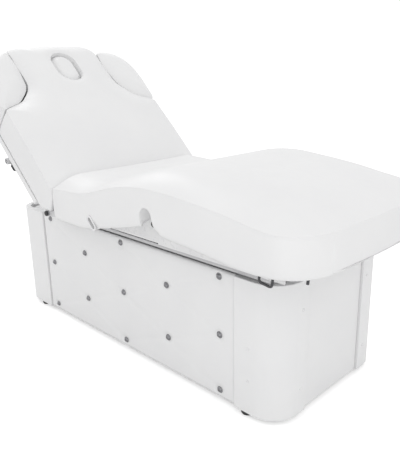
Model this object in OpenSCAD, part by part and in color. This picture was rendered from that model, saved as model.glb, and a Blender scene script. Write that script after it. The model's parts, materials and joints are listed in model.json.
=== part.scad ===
// Facial treatment bed: a boxed pedestal with two lifting columns carries a cushioned couch
// in four sections (back, seat, thigh and leg). Millimetres, +Z up, foot end towards +X.

/* [Pedestal] */
// Length between the outer faces of the end panels
base_l = 1400; // [1300:10:1500]
// Width between the outer faces of the side panels
base_w = 548; // [540:2:560]
// Height of the top edge of the panels above the floor
base_top = 434; // [432:1:434]
// Gap under the panels, taken up by the glides
foot_gap = 14; // [10:1:20]
// Thickness of the side and end panels
panel_t = 14; // [12:1:16]
// How far the corner posts stand out from the panels
post_proud = 8; // [4:1:10]
// Outer corner radius of the posts
post_r = 92; // [70:1:100]
// Length of the post leg along the side at the foot end
post_leg_foot = 156; // [140:1:180]
// Length of the post leg along the side at the head end
post_leg_head = 196; // [160:1:210]
// Half the width of the flat panel between two posts
end_panel_half = 150; // [120:1:170]
// Diameter of a button stud
stud_d = 22; // [16:1:26]

/* [Lift] */
// Distance of each lifting column from the middle
column_x = 480; // [460:5:500]
// Outer column length along X
column_l = 150; // [140:2:160]
// Outer column width along Y
column_w = 110; // [100:2:120]
// Wall of the column tubes
column_wall = 6; // [5:0.5:7]
// Running gap between one column tube and the next
column_gap = 0.5; // [0.4:0.1:0.8]

/* [Couch] */
// Half the width of the couch cushions
pad_half = 373; // [360:1:380]
// Height of the crown above the bottom of the couch cushions
pad_h = 150; // [140:1:155]
// Back angle above the horizontal, as stored
back_angle = 43; // [40:0.5:45]
// Thigh section angle above the horizontal, as stored
thigh_angle = 13.5; // [13.5:0.5:13.5]
// Leg section angle below the horizontal, as stored
leg_angle = 7; // [7:0.5:7]
// Length of the thigh section between its two hinges
thigh_l = 368; // [366:1:370]
// Length of the leg section cushion
leg_l = 528; // [530:1:560]
// Length of the back cushion up the slope
back_l = 796; // [780:1:800]
// Thickness of the section boards
board_t = 18; // [15:1:18]

/* [Head end] */
// Half the width of the head part of the back cushion
head_half = 216; // [205:1:220]
// Half the length of the face hole plug up the slope
plug_l = 81; // [70:1:85]
// Half the width of the face hole plug
plug_w = 56; // [50:1:60]

/* [Hidden] */
$fn = 48;

// Shift that puts the middle of the whole bed at X = 0
bed_shift = 37.7;
half_l = base_l / 2;
half_w = base_w / 2;
post_x = half_l + post_proud;
post_y = half_w + post_proud;
frame_in = half_w - panel_t;
tube_w = 24;
tube_h = 40;
upper_tube_z = 330;
column_base_z = foot_gap + tube_h;
// Heights of the carriage layers
plate_z = 390;
beam_z = 396;
bar_z = 436;
rail_z = 441;
deck_z = 452;
rail_in = 250;
beam_y = 140;
beam_w = 40;
// Hinge lines: back, thigh and knee
back_x = -308;
back_z = 481;
thigh_x = -60;
thigh_z = 467;
knee_x = thigh_x + thigh_l * cos(thigh_angle);
knee_z = thigh_z + thigh_l * sin(thigh_angle);
back_shaft_r = 12;
shaft_tip_r = 8;
pin_r = 7;
knee_r = 8;
run_gap = 0.05;
// Drive levers and rods
drive_y = 110;
drive_z = 381;
drive_pin_r = 8;
back_lever_lean = 18;
back_depth = back_z - drive_z;
back_rod_x = back_x - 1.05 * back_depth * back_lever_lean * PI / 180;
thigh_depth = thigh_z - drive_z;
// Struts that fold the leg section
strut_x = 460.8;
strut_z = 413.2;
strut_l = 150;
strut_angle = 29.5;
strut_on_leg = 300;
strut_drop = 30;
strut_pin_r = 6;
strut_slack = 2;
// Back section layers along its normal
board_low = -40;
pad_low = -16;
pad_seam = 107;
socket_s = 310;
socket_n = -60;
socket_r = 10;
plug_s = 626;
plug_gap = 3;

// A box from two corners
module block(x, y, z) {
    translate([x[0], y[0], z[0]])
        cube([x[1] - x[0], y[1] - y[0], z[1] - z[0]]);
}

// The same shape on the left (+Y) and right (-Y) sides
module both_sides() {
    children();
    mirror([0, 1, 0])
        children();
}

// An outline in X and Z, made thick from y0 to y1
module slab(y0, y1) {
    translate([0, y1, 0])
        rotate([90, 0, 0])
            linear_extrude(y1 - y0)
                children();
}

// A round bar along Y
module bar_y(r, y0, y1) {
    translate([0, y1, 0])
        rotate([90, 0, 0])
            cylinder(r = r, h = y1 - y0);
}

// A round bar along X
module bar_x(r, x0, x1) {
    translate([x0, 0, 0])
        rotate([0, 90, 0])
            cylinder(r = r, h = x1 - x0);
}

module bed() {
    translate([bed_shift, 0, 0])
        children();
}

// Frames of the tilting sections: along the section, across it and normal to it
module on_back() {
    bed()
        translate([back_x, 0, back_z])
            rotate([0, back_angle, 0])
                children();
}

module on_thigh() {
    bed()
        translate([thigh_x, 0, thigh_z])
            rotate([0, -thigh_angle, 0])
                children();
}

module on_leg() {
    bed()
        translate([knee_x, 0, knee_z])
            rotate([0, leg_angle, 0])
                children();
}

// Rounded rectangle centred on the origin
module round_rect(a, b, r) {
    square([2 * a, 2 * (b - r)], center = true);
    square([2 * (a - r), 2 * b], center = true);
    for (i = [-1, 1], j = [-1, 1])
        translate([i * (a - r), j * (b - r)])
            circle(r);
}

// A slot with round ends, along X
module stadium(length, width) {
    square([length - width, width], center = true);
    for (i = [-1, 1])
        translate([i * (length - width) / 2, 0])
            circle(d = width);
}

// ---- pedestal ----

module side_panel() {
    block([-half_l + post_leg_head, half_l - post_leg_foot],
        [frame_in, half_w], [foot_gap, base_top]);
}

module side_panel_left() {
    color("white") bed() side_panel();
}

module side_panel_right() {
    color("white") bed() mirror([0, 1, 0]) side_panel();
}

module foot_panel() {
    color("white") bed()
        block([half_l - panel_t, half_l], [-end_panel_half, end_panel_half], [foot_gap, base_top]);
}

inlet_z = 90;
inlet_w = 30;
inlet_h = 24;

module head_panel() {
    color("white") bed()
        difference() {
            block([-half_l, -half_l + panel_t], [-end_panel_half, end_panel_half],
                [foot_gap, base_top]);
            block([-half_l - 1, -half_l + panel_t + 1], [-inlet_w, inlet_w],
                [inlet_z - inlet_h, inlet_z + inlet_h]);
        }
}

// One rounded corner post: legs run along the side and along the end
module corner_post(leg) {
    translate([0, 0, foot_gap])
        linear_extrude(base_top - foot_gap)
            intersection() {
                difference() {
                    round_rect(post_x, post_y, post_r);
                    round_rect(half_l - panel_t, frame_in, post_r - post_proud - panel_t);
                }
                translate([half_l - leg, end_panel_half])
                    square([leg + 2 * post_proud, base_w]);
            }
}

module corner_posts() {
    color("white") bed()
        both_sides() {
            corner_post(post_leg_foot);
            mirror([1, 0, 0])
                corner_post(post_leg_head);
        }
}

// Button studs in a diamond pattern: three in columns 1, 3, 5 and two between them
stud_pitch = 233.5;
stud_first = -451;
stud_drop = 93.4;
stud_top = base_top - 19;

module button_stud() {
    rotate([-90, 0, 0])
        rotate_extrude()
            polygon([[0, 0], [stud_d / 2, 0], [stud_d / 2, 2], [stud_d / 2 - 2, 3.2],
                [stud_d / 2 - 3, 5], [stud_d / 4, 7.4], [0, 8.2]]);
}

module stud_side() {
    for (c = [0:4])
        for (k = [0:(c % 2 == 0 ? 2 : 1)])
            translate([stud_first + c * stud_pitch, half_w,
                stud_top - (2 * k + c % 2) * stud_drop])
                button_stud();
}

module button_studs() {
    color("silver") bed()
        both_sides() stud_side();
}

module screw_cap() {
    cylinder(r1 = 5.5, r2 = 4, h = 2);
}

module post_screw_caps() {
    color("whitesmoke") bed()
        both_sides() {
            for (z = [98, 346])
                translate([post_x, 176, z])
                    rotate([0, 90, 0])
                        screw_cap();
            for (z = [122, 226])
                translate([half_l - 103, post_y, z])
                    rotate([-90, 0, 0])
                        screw_cap();
        }
}

glide_x = 580;
glide_y = frame_in;

module floor_glides() {
    color("black") bed()
        both_sides()
            for (x = [-glide_x, glide_x])
                translate([x, glide_y, 0])
                    union() {
                        cylinder(r1 = 17, r2 = 19, h = 4);
                        translate([0, 0, 4])
                            cylinder(r = 19, h = foot_gap - 4);
                    }
}

// Boards that close the top of the pedestal round the lifting frame
shelf_z = [408, 420];
shelf_in = 210;
shelf_end = 607;

module shelf_board() {
    translate([0, 0, shelf_z[0]])
        linear_extrude(shelf_z[1] - shelf_z[0])
            children();
}

module rim_shelf() {
    color("white") bed() {
        both_sides()
            block([-shelf_end, shelf_end], [shelf_in, frame_in], shelf_z);
        shelf_board()
            polygon([[-shelf_end - 0.5, -258], [-660, -235], [panel_t - half_l, -190],
                [panel_t - half_l, 190], [-660, 235], [-shelf_end - 0.5, 258]]);
        shelf_board()
            polygon([[672, -205], [half_l - panel_t, -190], [half_l - panel_t, 190], [672, 205]]);
    }
}

module hollow_x(x, y, z, wall) {
    difference() {
        block(x, y, z);
        block([x[0] - 1, x[1] + 1], [y[0] + wall, y[1] - wall], [z[0] + wall, z[1] - wall]);
    }
}

frame_end = 610;

module long_tubes() {
    color("gray") bed()
        both_sides()
            for (z = [foot_gap, upper_tube_z])
                hollow_x([-frame_end, frame_end],
                    [frame_in - tube_w, frame_in], [z, z + tube_h], 2);
}

cross_len = frame_in - tube_w;

module cross_tube(x, w, z) {
    difference() {
        block([x - w / 2, x + w / 2], [-cross_len, cross_len], [z, z + tube_h]);
        block([x - w / 2 + 2, x + w / 2 - 2], [-cross_len - 1, cross_len + 1],
            [z + 2, z + tube_h - 2]);
    }
}

module cross_tubes() {
    color("gray") bed() {
        for (x = [-column_x, 0, column_x])
            cross_tube(x, 90, foot_gap);
        for (x = [20 - frame_end, frame_end - 20])
            cross_tube(x, 24, upper_tube_z);
    }
}

module frame_uprights() {
    color("gray") bed()
        both_sides()
            for (x = [-glide_x, 0, glide_x])
                block([x - 15, x + 15], [frame_in - tube_w, frame_in - 2],
                    [foot_gap + tube_h, upper_tube_z]);
}

// One rectangular column tube, reduced by a step on every side
module column_tube(step, z) {
    difference() {
        block([-column_l / 2 + step, column_l / 2 - step],
            [-column_w / 2 + step, column_w / 2 - step], z);
        block([-column_l / 2 + step + column_wall, column_l / 2 - step - column_wall],
            [-column_w / 2 + step + column_wall, column_w / 2 - step - column_wall],
            [z[0] - 1, z[1] + 1]);
    }
}

module at_columns() {
    bed()
        for (x = [-column_x, column_x])
            translate([x, 0, 0])
                children();
}

column_step = column_wall + column_gap;

module column_outer_tubes() {
    color("silver") at_columns() column_tube(0, [column_base_z, 380]);
}

module control_box() {
    color("dimgray") bed()
        difference() {
            block([-110, 110], [-70, 70], [column_base_z, column_base_z + 64]);
            for (x = [-84:24:84])
                block([x - 4, x + 4], [-50, 50], [column_base_z + 61, column_base_z + 65]);
        }
}

module mains_inlet() {
    color("black") bed()
        difference() {
            union() {
                block([-half_l - 4, -half_l], [-inlet_w - 8, inlet_w + 8],
                    [inlet_z - inlet_h - 6, inlet_z + inlet_h + 6]);
                block([-half_l, -half_l + 34], [-inlet_w, inlet_w],
                    [inlet_z - inlet_h, inlet_z + inlet_h]);
            }
            block([-half_l - 5, -half_l + 20], [-12, 12], [inlet_z - 9, inlet_z + 9]);
        }
}

// ---- carriage ----

module column_middle_tubes() {
    color("silver") at_columns() column_tube(column_step, [column_base_z + 4, 386]);
}

module column_inner_tubes() {
    color("silver") at_columns() column_tube(2 * column_step, [column_base_z + 8, plate_z]);
}

module column_top_plates() {
    color("gray") at_columns() block([-70, 70], [-185, 185], [plate_z, beam_z]);
}

beam_ends = [-540, 668];

module lift_beams() {
    color("gray") bed()
        both_sides()
            hollow_x(beam_ends, [beam_y, beam_y + beam_w], [beam_z, bar_z], 3);
}

module crossbars() {
    color("gray") bed()
        for (x = [[-235, -195], [60, 100], [300, 340], [641, 665]])
            block(x, [-rail_in, rail_in], [bar_z, deck_z]);
}

module side_rails() {
    color("lightgray") bed()
        both_sides()
            block([-335, 665], [rail_in, rail_in + 22], [rail_z, deck_z]);
}

// Plate standing on a side rail, bored for a hinge
module hinge_bracket(x, z, thick, reach, bore) {
    slab(rail_in - thick, rail_in)
        difference() {
            union() {
                translate([x, z])
                    circle(reach);
                translate([x - reach, rail_z])
                    square([2 * reach, z - rail_z]);
            }
            translate([x, z])
                circle(bore);
        }
}

module hinge_brackets() {
    color("gray") bed()
        both_sides() {
            hinge_bracket(back_x, back_z, 6, 24, back_shaft_r);
            hinge_bracket(thigh_x, thigh_z, 8, 12, pin_r);
        }
}

module back_hinge_shaft() {
    color("silver") bed()
        translate([back_x, 0, back_z])
            union() {
                bar_y(back_shaft_r, -262, 262);
                bar_y(shaft_tip_r, -365, 365);
            }
}

module shaft_end_caps() {
    color("black") bed()
        both_sides()
            translate([back_x, 365, back_z])
                rotate([-90, 0, 0])
                    union() {
                        cylinder(r = 10, h = 5);
                        translate([0, 0, 5])
                            cylinder(r1 = 10, r2 = 8, h = 2);
                    }
}

module shaft_side_links() {
    color("gray") bed()
        both_sides()
            slab(354, 360)
                difference() {
                    union() {
                        translate([back_x, back_z])
                            circle(13);
                        polygon([[back_x, back_z + 11], [-262, 496], [-246, 490],
                            [-246, 474], [back_x, back_z - 11]]);
                    }
                    translate([back_x, back_z])
                        circle(shaft_tip_r);
                }
}

module thigh_hinge_pins() {
    color("silver") bed()
        both_sides()
            translate([thigh_x, 0, thigh_z])
                bar_y(pin_r, 222, rail_in);
}

// Hollow left in the cushions round the thigh and knee hinges
hinge_room = 17;
seat_rear = -245;
seat_front = -61;

module seat_board() {
    color("white") bed()
        block([seat_rear + 10, -76], [-255, 255], [deck_z, thigh_z]);
}

// Cross-section of a couch cushion: straight side band and a crowned top
function crown(w, z0, z1) = [[-w, z0], [w, z0], [w, z1 - 38], [w - 14, z1 - 24],
    [w - 60, z1 - 10], [w - 150, z1], [-w + 150, z1], [-w + 60, z1 - 10],
    [-w + 14, z1 - 24], [-w, z1 - 38]];

module crowned(w, z0, z1, x0, x1) {
    translate([x0, 0, 0])
        rotate([90, 0, 90])
            linear_extrude(x1 - x0)
                polygon(crown(w, z0, z1));
}

module seat_cushion() {
    color("white") bed()
        difference() {
            crowned(pad_half, thigh_z, thigh_z + pad_h, seat_rear, seat_front);
            translate([thigh_x, 0, thigh_z])
                bar_y(hinge_room, -pad_half - 1, pad_half + 1);
        }
}

// An actuator housing with its hanger, in line with a drive rod
module actuator(side, x0, x1, hang_x) {
    translate([0, side * drive_y, drive_z])
        bar_x(22, x0, x1);
    block([hang_x - 10, hang_x + 10], [side * drive_y - 10, side * drive_y + 10],
        [drive_z + 20, bar_z]);
}

rod_r = 7;
rod_bore = rod_r + 1;

module back_actuator() {
    color("gainsboro") bed()
        difference() {
            actuator(1, -150, 110, 80);
            translate([0, drive_y, drive_z])
                bar_x(rod_bore, -151, 60);
        }
}

module leg_actuator() {
    color("gainsboro") bed()
        difference() {
            actuator(-1, 20, 300, 80);
            translate([0, -drive_y, drive_z])
                bar_x(rod_bore, 19, 240);
        }
}

module strut_pins() {
    color("silver") bed()
        both_sides()
            translate([strut_x, 0, strut_z])
                union() {
                    bar_y(strut_pin_r, beam_y + beam_w, 198);
                    bar_y(strut_pin_r + 5, 197, 200);
                }
}

// ---- drive rods: a rod with an eye block and a cross pin that runs in slotted levers ----

module drive_rod(x_pin, x_end) {
    translate([x_pin, 0, drive_z]) {
        bar_y(drive_pin_r, -20, 20);
        block([-13, 13], [-6, 6], [-13, 13]);
    }
    translate([0, 0, drive_z])
        bar_x(rod_r, x_pin + 12, x_end);
}

module back_rod() {
    color("silver") bed()
        translate([0, drive_y, 0])
            drive_rod(back_rod_x, -60);
}

module leg_rod() {
    color("silver") bed()
        translate([0, -drive_y, 0])
            drive_rod(thigh_x, 120);
}

// ---- back section ----

// Outline of the back cushion seen along its normal, drawn in by a margin
function back_outline(m) = [[-96 - m, -pad_half + m], [-436 + m, -pad_half + m],
    [-438 + m * 0.7, -364 + m], [-463 + m, -300 + m * 0.4], [-524 + m, -235 + m * 0.4],
    [-566, -head_half + m], [-back_l + 30 + m * 0.4, -head_half + m],
    [-back_l + 9 + m * 0.7, -head_half + 9 + m * 0.7],
    [-back_l + m, -head_half + 30 + m * 0.4]];

// Outline of one step of the crown on top of the back cushion
function back_crown(m) = [[-96 - m, -pad_half + m], [-420 + m, -pad_half + m],
    [-550 + m * 0.5, -head_half + m], [-back_l + m, -head_half + m]];

function mirrored(p) = concat(p, [for (i = [len(p) - 1:-1:0]) [p[i][0], -p[i][1]]]);

module back_board() {
    color("white") on_back()
        translate([0, 0, board_low])
            linear_extrude(pad_low - board_low)
                difference() {
                    union() {
                        polygon(mirrored(back_outline(4)));
                        translate([-101, 4 - pad_half])
                            square([27, 2 * pad_half - 8]);
                    }
                    translate([-plug_s, 0])
                        scale([1, 0.62])
                            circle(60);
                }
}

module plug_outline(extra) {
    translate([-plug_s, 0])
        stadium(2 * (plug_l + extra), 2 * (plug_w + extra));
}

module back_cushion() {
    color("white") on_back()
        difference() {
            union() {
                translate([0, 0, pad_low])
                    linear_extrude(pad_seam - pad_low)
                        polygon(mirrored(back_outline(0)));
                translate([0, 0, pad_seam])
                    linear_extrude(14)
                        polygon(mirrored(back_crown(16)));
                translate([0, 0, pad_seam + 14])
                    linear_extrude(11)
                        polygon(mirrored(back_crown(55)));
                slab(-pad_half, pad_half)
                    polygon([[-96, pad_seam], [-38, pad_seam - 6], [-2, 70], [-8, 45],
                        [-60, pad_low], [-96, pad_low]]);
            }
            translate([0, 0, pad_low - 1])
                linear_extrude(200)
                    plug_outline(plug_gap);
        }
}

arm_y = 236;

module back_hinge_arms() {
    color("gray") on_back()
        both_sides()
            slab(arm_y - 6, arm_y)
                difference() {
                    union() {
                        circle(22);
                        polygon([[-12, 14], [-56, -20], [-62, -20], [-62, board_low],
                            [-260, board_low], [-260, -46], [-240, -54], [-50, -54], [-8, -20]]);
                    }
                    circle(back_shaft_r + run_gap);
                }
}

// Slotted drive arm, pointing down
module slotted_arm(depth, width) {
    difference() {
        translate([-width / 2, -depth - 30])
            square([width, depth]);
        translate([0, -depth - 5])
            rotate(90)
                stadium(33, 2 * drive_pin_r + 3);
    }
}

module back_levers() {
    color("gray") on_back()
        for (y = [drive_y - 16, drive_y + 8])
            slab(y, y + 8)
                difference() {
                    union() {
                        circle(22);
                        polygon([[-6, 20], [-56, -20], [-70, board_low], [-170, board_low],
                            [-170, -50], [-60, -50], [-10, -20]]);
                        rotate(back_angle - back_lever_lean)
                            slotted_arm(back_depth, 40);
                    }
                    circle(back_shaft_r + run_gap);
                }
}

module armrest_socket() {
    difference() {
        union() {
            translate([-socket_s, 0, socket_n])
                bar_y(socket_r + 3, 286, pad_half);
            block([-socket_s - 8, -socket_s + 8], [300, 360], [socket_n + 8, board_low]);
        }
        translate([-socket_s, 0, socket_n])
            bar_y(socket_r, 270, pad_half + 1);
    }
}

module armrest_sockets() {
    color("dimgray") on_back()
        both_sides() armrest_socket();
}

arm_rods = [520, 690];
arm_rod_r = 7;
arm_rod_n = board_low - arm_rod_r - 3;

module arm_guide_tubes() {
    color("dimgray") on_back()
        both_sides()
            for (s = arm_rods)
                translate([-s, 0, arm_rod_n])
                    difference() {
                        bar_y(arm_rod_r + 3, 60, 206);
                        bar_y(arm_rod_r + run_gap, 59, 207);
                    }
}

// ---- thigh section ----

thigh_board_x = [16, 340];

module thigh_board() {
    color("white") on_thigh()
        block(thigh_board_x, [-255, 255], [10 - board_t, 10]);
}

// Skirt boards that hang under the cushions and close the gap below the raised knee
skirt_y = [287, 295];
skirt_t = 4;

module thigh_skirts() {
    color("white") on_thigh()
        both_sides()
            slab(skirt_y[0], skirt_y[0] + skirt_t)
                polygon([[56, 10], [56, -16], [348, -86], [348, 10]]);
}

side_slot_l = 63;
side_slot_m = 21;
side_slot_angle = -60.3;
arch_r = 38;
arch_side = 330;

module side_slot(length, width, y0, y1) {
    slab(y0, y1)
        translate([side_slot_l, side_slot_m])
            rotate(side_slot_angle)
                stadium(length, width);
}

module knee_arch() {
    both_sides()
        slab(arch_side, pad_half + 1)
            union() {
                translate([0, 4])
                    circle(arch_r);
                translate([-arch_r, -60])
                    square([2 * arch_r, 64]);
            }
}

module thigh_cushion() {
    color("white") on_thigh()
        difference() {
            intersection() {
                crowned(pad_half, 10, pad_h - 4, 1, thigh_l - 1);
                slab(-pad_half, pad_half)
                    polygon([[6, 0], [thigh_l - 1, 0], [thigh_l - 1, pad_h], [60, pad_h]]);
            }
            both_sides()
                side_slot(52, 22, 318, pad_half + 1);
            bar_y(hinge_room, -pad_half - 1, pad_half + 1);
            translate([thigh_l, 0, 0]) {
                bar_y(hinge_room, -pad_half - 1, pad_half + 1);
                knee_arch();
            }
        }
}

thigh_ear = [232, 241];

module thigh_frame() {
    color("gray") on_thigh() {
        both_sides() {
            slab(thigh_ear[0], thigh_ear[1])
                difference() {
                    union() {
                        circle(12);
                        translate([0, -8])
                            square([thigh_board_x[0], 18]);
                    }
                    circle(pin_r + run_gap);
                }
            slab(thigh_ear[0] + 4, thigh_ear[1] + 4)
                difference() {
                    union() {
                        translate([thigh_l, 0])
                            circle(14);
                        translate([thigh_board_x[1], -8])
                            square([thigh_l - thigh_board_x[1], 17]);
                    }
                    translate([thigh_l, 0])
                        circle(knee_r);
                }
        }
        for (y = [-drive_y - 16, -drive_y + 8])
            slab(y, y + 8)
                union() {
                    polygon([[thigh_board_x[0], 10 - board_t], [80, 10 - board_t], [34, -64], [4, -64]]);
                    rotate(-thigh_angle)
                        slotted_arm(thigh_depth, 36);
                }
    }
}

module side_sockets() {
    color("gray") on_thigh()
        both_sides()
            difference() {
                union() {
                    side_slot(52, 22, 318, pad_half);
                    side_slot(58, 28, pad_half, pad_half + 2.5);
                }
                side_slot(45, 15, 324, pad_half + 4);
            }
}

module knee_shaft() {
    color("silver") on_thigh()
        translate([thigh_l, 0, 0])
            bar_y(knee_r, -350, 350);
}

module knee_shaft_caps() {
    color("black") on_thigh()
        both_sides()
            translate([thigh_l, 350, 0])
                rotate([-90, 0, 0])
                    union() {
                        cylinder(r = 11, h = 6);
                        translate([0, 0, 6])
                            cylinder(r1 = 11, r2 = 9, h = 3);
                    }
}

// ---- leg section ----

leg_board_x = [30, 470];
leg_corner = 120;

module leg_board() {
    color("white") on_leg()
        block(leg_board_x, [-255, 255], [10 - board_t, 10]);
}

module leg_skirts() {
    color("white") on_leg()
        both_sides()
            slab(skirt_y[1], skirt_y[1] + skirt_t)
                difference() {
                    polygon([[-40, -16], [-13, 2], [-8, 12.5], [8, 12.5], [12.5, 10], [440, 10],
                        [440, -35], [-40, -94]]);
                    circle(knee_r + 1);
                }
}

// Foot end outline: a straight pad with two large round corners
module leg_plan() {
    translate([1, -pad_half])
        square([leg_l - leg_corner - 1, 2 * pad_half]);
    translate([leg_l - leg_corner - 1, -pad_half + leg_corner])
        square([leg_corner + 1, 2 * (pad_half - leg_corner)]);
    for (j = [-1, 1])
        translate([leg_l - leg_corner, j * (pad_half - leg_corner)])
            circle(leg_corner);
}

module leg_cushion() {
    color("white") on_leg()
        difference() {
            intersection() {
                crowned(pad_half, 10, pad_h - 4, 1, leg_l);
                translate([0, 0, -1])
                    linear_extrude(200)
                        leg_plan();
            }
            bar_y(hinge_room, -pad_half - 1, pad_half + 1);
            knee_arch();
        }
}

module leg_frame() {
    color("gray") on_leg()
        both_sides() {
            slab(224, 234)
                difference() {
                    union() {
                        circle(14);
                        translate([0, -8])
                            square([leg_board_x[0], 18]);
                    }
                    circle(knee_r + run_gap);
                }
            slab(200, 207)
                polygon([[strut_on_leg - 30, 10 - board_t], [strut_on_leg + 30, 10 - board_t],
                    [strut_on_leg + 12, -strut_drop - 12], [strut_on_leg - 12, -strut_drop - 12]]);
            translate([strut_on_leg, 0, -strut_drop])
                union() {
                    bar_y(strut_pin_r, 184, 200);
                    bar_y(strut_pin_r + 5, 181.5, 184);
                }
        }
}

loop_x = 418;
loop_y = 350;
loop_w = 41;
loop_r = 3.5;
loop_drop = -27;

module towel_loop() {
    translate([loop_x, loop_y, 0])
        union() {
            block([-30, 30], [-11, 11], [7, 10]);
            for (i = [-1, 1])
                translate([i * loop_w / 2, 0, loop_drop + 8])
                    cylinder(r = loop_r, h = -loop_drop);
            for (i = [-1, 1])
                translate([i * (loop_w / 2 - 8), 0, loop_drop + 8])
                    rotate([-90, 0, 0])
                        rotate_extrude(angle = 90, start = i > 0 ? 0 : 90)
                            translate([8, 0])
                                circle(loop_r);
            translate([0, 0, loop_drop])
                bar_x(loop_r, -loop_w / 2 + 8, loop_w / 2 - 8);
        }
}

module towel_loops() {
    color("dimgray") on_leg()
        both_sides() towel_loop();
}

module foot_pegs() {
    color("gray") on_leg()
        both_sides()
            translate([497, 285, 0])
                union() {
                    translate([0, 0, -14])
                        cylinder(r = 4, h = 24);
                    translate([0, 0, 7])
                        cylinder(r = 12, h = 3);
                }
}

module leg_struts() {
    color("gray") bed()
        both_sides()
            translate([strut_x, 0, strut_z])
                slab(186, 194)
                    rotate(strut_angle)
                        difference() {
                            union() {
                                circle(14);
                                translate([strut_l, 0])
                                    circle(14);
                                translate([0, -11])
                                    square([strut_l, 22]);
                            }
                            circle(strut_pin_r + run_gap);
                            translate([strut_l, 0])
                                circle(strut_pin_r + strut_slack);
                        }
}

// ---- head end ----

module face_plug() {
    color("white") on_back() {
        translate([0, 0, pad_low + 0.4])
            linear_extrude(pad_seam - pad_low)
                plug_outline(0);
        translate([0, 0, pad_seam])
            linear_extrude(14)
                plug_outline(-14);
    }
}

// Outline of an arm cushion beside the head part
arm_outline = [[-772 + 12, 224], [-772, 224 + 12], [-772, 284], [-758, 310], [-723, 352],
    [-653, 384], [-575, 387], [-458, 376], [-448, 364], [-474, 306], [-534, 244],
    [-574, 224]];

module arm_cushion() {
    translate([0, 0, pad_low])
        linear_extrude(pad_seam + 10 - pad_low)
            polygon(arm_outline);
    translate([0, 0, board_low])
        linear_extrude(pad_low - board_low)
            polygon([[-752, 230], [-752, 290], [-710, 344], [-650, 372], [-575, 378],
                [-470, 366], [-482, 312], [-540, 252], [-580, 230]]);
    for (s = arm_rods)
        translate([-s, 0, arm_rod_n]) {
            bar_y(arm_rod_r, 56, 300);
            block([-8, 8], [236, 300], [0, arm_rod_r + 3]);
        }
}

module arm_cushion_left() {
    color("white") on_back() arm_cushion();
}

module arm_cushion_right() {
    color("white") on_back() mirror([0, 1, 0]) arm_cushion();
}

// Hand knob whose screw clamps the bar in an armrest socket
knob_y = 345;
knob_r = 18.5;

module clamp_knob() {
    translate([-socket_s, knob_y, socket_n])
        rotate([0, 90, 0])
            difference() {
                union() {
                    translate([0, 0, socket_r + 3.5])
                        cylinder(r = 4, h = 8);
                    translate([0, 0, socket_r + 11])
                        cylinder(r = knob_r, h = 20);
                    translate([0, 0, socket_r + 31])
                        cylinder(r1 = knob_r, r2 = knob_r - 4, h = 4);
                }
                for (a = [0:45:315])
                    rotate(a)
                        translate([knob_r + 3, 0, socket_r + 10])
                            cylinder(r = 5, h = 30);
            }
}

module clamp_knob_left() {
    color("black") on_back() clamp_knob();
}

module clamp_knob_right() {
    color("black") on_back() mirror([0, 1, 0]) clamp_knob();
}

side_panel_left();
side_panel_right();
foot_panel();
head_panel();
corner_posts();
button_studs();
post_screw_caps();
floor_glides();
rim_shelf();
long_tubes();
cross_tubes();
frame_uprights();
column_outer_tubes();
control_box();
mains_inlet();
column_middle_tubes();
column_inner_tubes();
column_top_plates();
lift_beams();
crossbars();
side_rails();
hinge_brackets();
back_hinge_shaft();
shaft_end_caps();
shaft_side_links();
thigh_hinge_pins();
seat_board();
seat_cushion();
back_actuator();
leg_actuator();
strut_pins();
back_board();
back_cushion();
back_hinge_arms();
back_levers();
armrest_sockets();
arm_guide_tubes();
back_rod();
leg_rod();
thigh_board();
thigh_skirts();
thigh_cushion();
thigh_frame();
side_sockets();
knee_shaft();
knee_shaft_caps();
leg_board();
leg_skirts();
leg_cushion();
leg_frame();
towel_loops();
foot_pegs();
leg_struts();
face_plug();
arm_cushion_left();
arm_cushion_right();
clamp_knob_left();
clamp_knob_right();
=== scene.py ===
import json
import math

import bmesh
import bpy
import numpy as np
from mathutils import Matrix, Vector


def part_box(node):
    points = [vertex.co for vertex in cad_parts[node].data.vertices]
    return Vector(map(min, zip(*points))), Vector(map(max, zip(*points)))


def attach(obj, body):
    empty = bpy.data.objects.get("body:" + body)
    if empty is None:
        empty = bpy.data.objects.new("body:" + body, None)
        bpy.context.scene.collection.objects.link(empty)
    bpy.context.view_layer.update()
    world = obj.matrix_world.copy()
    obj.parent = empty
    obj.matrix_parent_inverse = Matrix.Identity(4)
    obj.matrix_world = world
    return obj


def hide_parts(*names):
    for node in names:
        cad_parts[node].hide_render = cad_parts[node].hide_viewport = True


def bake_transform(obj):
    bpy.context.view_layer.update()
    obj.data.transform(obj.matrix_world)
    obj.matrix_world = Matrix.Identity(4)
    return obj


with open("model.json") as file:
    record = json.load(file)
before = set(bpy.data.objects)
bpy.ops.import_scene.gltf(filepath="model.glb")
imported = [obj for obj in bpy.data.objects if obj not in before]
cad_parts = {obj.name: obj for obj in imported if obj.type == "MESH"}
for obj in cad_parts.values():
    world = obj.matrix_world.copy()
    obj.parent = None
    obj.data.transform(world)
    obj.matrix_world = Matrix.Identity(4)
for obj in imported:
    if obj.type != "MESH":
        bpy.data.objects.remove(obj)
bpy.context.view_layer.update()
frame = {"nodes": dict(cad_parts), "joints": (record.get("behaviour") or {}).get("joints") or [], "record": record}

# ---- places taken from the frame ----

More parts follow.
